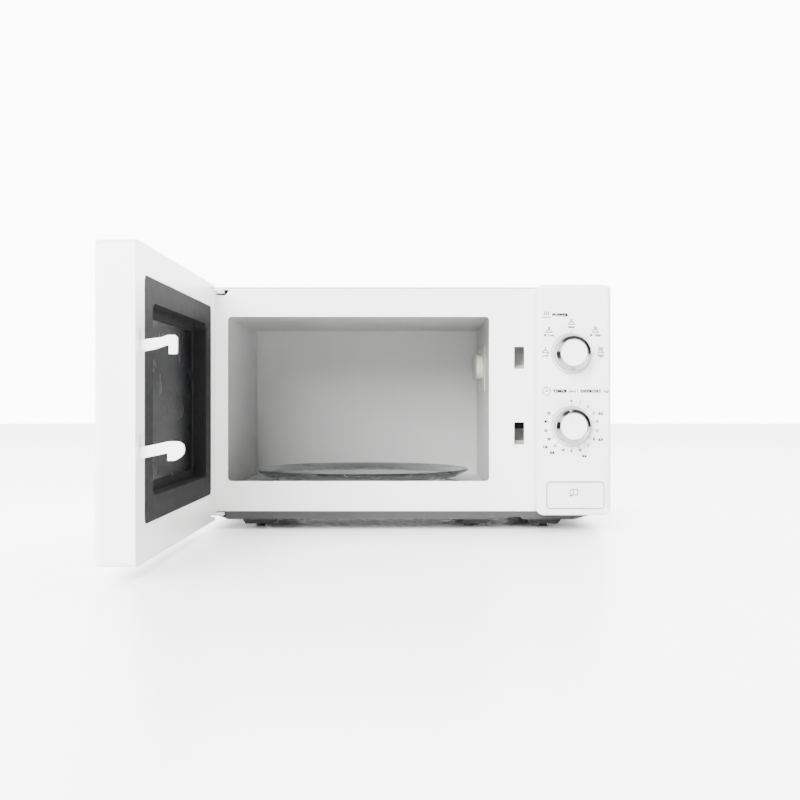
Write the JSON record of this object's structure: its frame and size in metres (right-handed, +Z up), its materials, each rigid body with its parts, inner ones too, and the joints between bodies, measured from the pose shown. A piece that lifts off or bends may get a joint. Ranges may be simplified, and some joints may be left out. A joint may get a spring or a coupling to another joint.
{
  "type": "microwave oven",
  "caption": "Counter-top microwave oven with a side-hung door standing open, a glass turntable, power and timer dials and a push-button door release.",
  "frame": {"origin": "on the surface that the feet stand on, under the middle of the cabinet (door and control panel not counted)", "axes": "+X to the right, +Y to the rear, +Z up; the front faces -Y"},
  "size_m": [0.449, 0.687, 0.26],
  "materials": {
    "base_plate": "zinc-coated pressed sheet",
    "front_plate": "white powder coat",
    "cavity_wrap": "grey oven paint",
    "cavity_floor": "grey oven paint",
    "cavity_back": "grey oven paint",
    "cabinet_cover": "white powder coat",
    "rear_panel": "zinc-coated sheet",
    "control_panel": "satin moulded",
    "knob_bezels": "satin plated",
    "feet": "matt",
    "hinge_upper": "white paint",
    "hinge_lower": "white paint",
    "hinge_screws": "zinc",
    "rear_screws": "zinc",
    "cord_gland": "matt",
    "waveguide": "zinc-coated sheet",
    "waveguide_cover": "mica sheet",
    "magnetron_frame": "zinc-coated sheet",
    "magnetron_core": "anode block with pressed fins",
    "transformer_core": "varnished laminations",
    "transformer_windings": "enamelled wire",
    "capacitor": "drawn can",
    "capacitor_clamp": "zinc",
    "fan_motor": "laminations and coil",
    "air_duct": "moulded",
    "lamp_bulb": "clear",
    "lamp_holder": "zinc-coated sheet",
    "turntable_motor": "zinc",
    "latch_board": "moulded",
    "slot_shield": "moulded",
    "interlock_switches": "moulded",
    "timer_unit": "moulded",
    "noise_filter": "circuit board",
    "button_spring": "spring wire",
    "door_frame": "satin moulded",
    "door_window": "dark tinted",
    "door_panel": "grey paint",
    "door_screen": "black paint, perforated",
    "choke_cover": "dark grey moulded",
    "choke_channel": "zinc-coated sheet",
    "inner_film": "clear film",
    "latch_spring": "spring wire",
    "latch_hooks": "moulded",
    "power_knob": "moulded",
    "power_knob_ring": "satin plated",
    "power_shaft": "moulded",
    "timer_knob": "moulded",
    "timer_knob_ring": "satin plated",
    "timer_shaft": "moulded",
    "push_button": "satin moulded",
    "button_arm": "moulded",
    "release_lever": "moulded",
    "drive_coupler": "moulded",
    "glass_tray": "clear toughened",
    "roller_ring": "moulded",
    "roller_1": "moulded",
    "roller_2": "moulded",
    "roller_3": "moulded",
    "fan_blade": "moulded"
  },
  "bodies": {
    "cabinet": {"base_plate": "base_plate", "front_plate": "front_plate", "cavity_wrap": "cavity_wrap", "cavity_floor": "cavity_floor", "cavity_back": "cavity_back", "cabinet_cover": "cabinet_cover", "rear_panel": "rear_panel", "control_panel": "control_panel", "knob_bezels": "knob_bezels", "feet": "feet", "hinge_upper": "hinge_upper", "hinge_lower": "hinge_lower", "hinge_screws": "hinge_screws", "rear_screws": "rear_screws", "cord_gland": "cord_gland", "waveguide": "waveguide", "waveguide_cover": "waveguide_cover", "magnetron_frame": "magnetron_frame", "magnetron_core": "magnetron_core", "transformer_core": "transformer_core", "transformer_windings": "transformer_windings", "capacitor": "capacitor", "capacitor_clamp": "capacitor_clamp", "fan_motor": "fan_motor", "air_duct": "air_duct", "lamp_bulb": "lamp_bulb", "lamp_holder": "lamp_holder", "turntable_motor": "turntable_motor", "latch_board": "latch_board", "slot_shield": "slot_shield", "interlock_switches": "interlock_switches", "timer_unit": "timer_unit", "noise_filter": "noise_filter", "button_spring": "button_spring"},
    "door": {"door_frame": "door_frame", "door_window": "door_window", "door_panel": "door_panel", "door_screen": "door_screen", "choke_cover": "choke_cover", "choke_channel": "choke_channel", "inner_film": "inner_film", "latch_spring": "latch_spring"},
    "hooks": {"latch_hooks": "latch_hooks"},
    "power_dial": {"power_knob": "power_knob", "power_knob_ring": "power_knob_ring", "power_shaft": "power_shaft"},
    "timer_dial": {"timer_knob": "timer_knob", "timer_knob_ring": "timer_knob_ring", "timer_shaft": "timer_shaft"},
    "button": {"push_button": "push_button", "button_arm": "button_arm"},
    "lever": {"release_lever": "release_lever"},
    "coupler": {"drive_coupler": "drive_coupler"},
    "tray": {"glass_tray": "glass_tray"},
    "roller_frame": {"roller_ring": "roller_ring"},
    "roller_a": {"roller_1": "roller_1"},
    "roller_b": {"roller_2": "roller_2"},
    "roller_c": {"roller_3": "roller_3"},
    "fan": {"fan_blade": "fan_blade"}
  },
  "joints": [
    {"name": "door_hinge", "type": "hinge", "parent": "cabinet", "child": "door", "pos_m": [-0.214, -0.172, 0], "axis": [0, 0, 1], "range_deg": [-10, 90]},
    {"name": "latch_lift", "type": "slide", "parent": "door", "child": "hooks", "axis": [0, 0, 1], "range_m": [0, 0.004], "stiffness_N_per_m": 300, "springref_m": -0.004, "deforming": ["latch_spring"]},
    {"name": "power_turn", "type": "hinge", "parent": "cabinet", "child": "power_dial", "pos_m": [0.1784, -0.187, 0.18725], "axis": [0, 1, 0], "range_deg": [-90, 90]},
    {"name": "timer_turn", "type": "hinge", "parent": "cabinet", "child": "timer_dial", "pos_m": [0.1784, -0.187, 0.1111], "axis": [0, 1, 0], "range_deg": [0, 300]},
    {"name": "button_push", "type": "slide", "parent": "cabinet", "child": "button", "axis": [0, 1, 0], "range_m": [0, 0.006], "stiffness_N_per_m": 400, "springref_m": -0.004, "deforming": ["button_spring"]},
    {"name": "lever_turn", "type": "hinge", "parent": "cabinet", "child": "lever", "pos_m": [0.1256, -0.146, 0.08013], "axis": [1, 0, 0], "range_deg": [0, 21]},
    {"name": "tray_drive", "type": "hinge", "parent": "cabinet", "child": "coupler", "pos_m": [-0.0483, -0.0086, 0.035], "axis": [0, 0, 1], "continuous": true},
    {"name": "tray_lift", "type": "slide", "parent": "coupler", "child": "tray", "axis": [0, 0, 1], "range_m": [0, 0.008]},
    {"name": "ring_turn", "type": "hinge", "parent": "cabinet", "child": "roller_frame", "pos_m": [-0.0483, -0.0086, 0.0418], "axis": [0, 0, 1], "continuous": true},
    {"name": "fan_turn", "type": "hinge", "parent": "cabinet", "child": "fan", "pos_m": [0.1587, 0.115, 0.185], "axis": [0, 1, 0], "continuous": true},
    {"name": "roller_turn_1", "type": "hinge", "parent": "roller_frame", "child": "roller_a", "pos_m": [-0.0483, 0.0959, 0.0418], "axis": [0, 1, 0], "continuous": true},
    {"name": "roller_turn_2", "type": "hinge", "parent": "roller_frame", "child": "roller_b", "pos_m": [-0.1388, -0.06085, 0.0418], "axis": [-0.866, -0.5, 0], "continuous": true},
    {"name": "roller_turn_3", "type": "hinge", "parent": "roller_frame", "child": "roller_c", "pos_m": [0.0422, -0.06085, 0.0418], "axis": [0.866, -0.5, 0], "continuous": true}
  ],
  "couplings": [
    {"joint": "lever_turn", "follows": "button_push", "rad_per_m": 59.632},
    {"joint": "ring_turn", "follows": "tray_drive", "ratio": 0.5},
    {"joint": "roller_turn_1", "follows": "tray_drive", "ratio": -8.0385},
    {"joint": "roller_turn_2", "follows": "tray_drive", "ratio": -8.0385},
    {"joint": "roller_turn_3", "follows": "tray_drive", "ratio": -8.0385}
  ]
}
